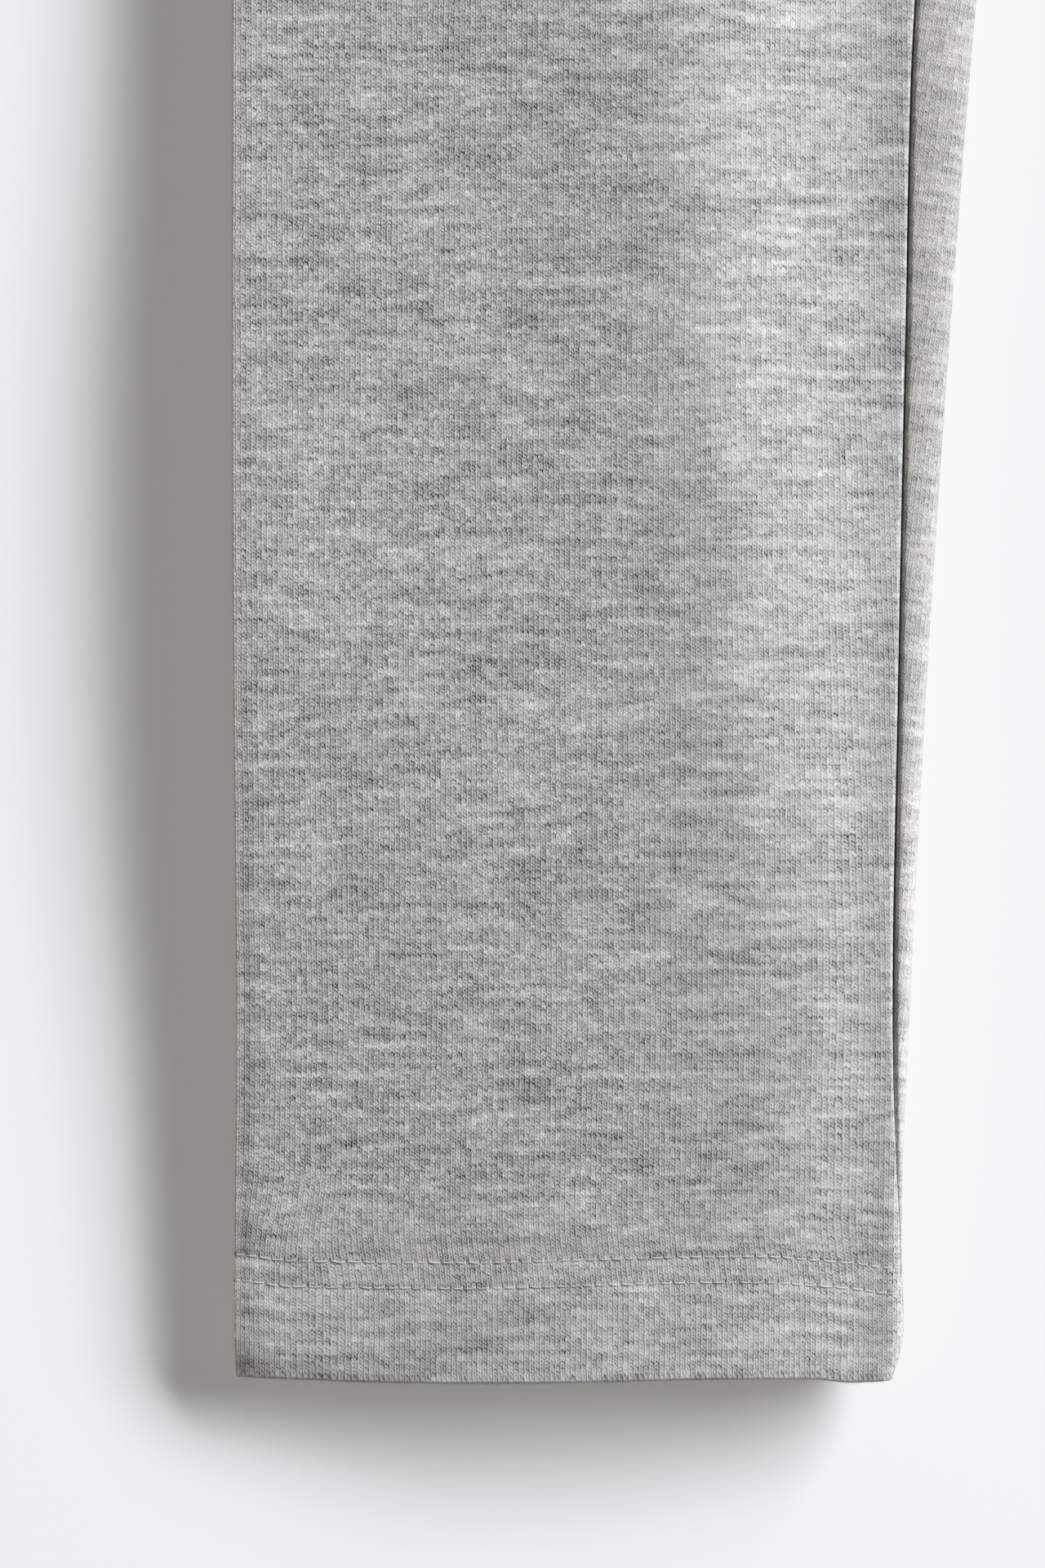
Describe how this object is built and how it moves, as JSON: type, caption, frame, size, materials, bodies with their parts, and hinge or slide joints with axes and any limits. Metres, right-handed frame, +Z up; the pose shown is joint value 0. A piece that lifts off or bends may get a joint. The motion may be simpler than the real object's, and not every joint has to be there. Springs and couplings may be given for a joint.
{
  "type": "leggings",
  "caption": "Light grey marl jersey leggings laid flat, with plain stitched hems, inner-leg seams and a softly gathered elastic waistband.",
  "frame": {"origin": "centre of the whole garment's box, on the surface it lies on", "axes": "+Z up from the surface, +Y from the hems to the waist, -X to the wearer's right leg, front of the garment upwards"},
  "size_m": [0.41, 0.928, 0.0168],
  "materials": {
    "marl_jersey": "matt light grey marl single jersey knit",
    "thread": "off-white sewing thread"
  },
  "bodies": {
    "root": {"right_leg": "marl_jersey", "left_leg": "marl_jersey", "waistband": "marl_jersey"}
  },
  "joints": []
}
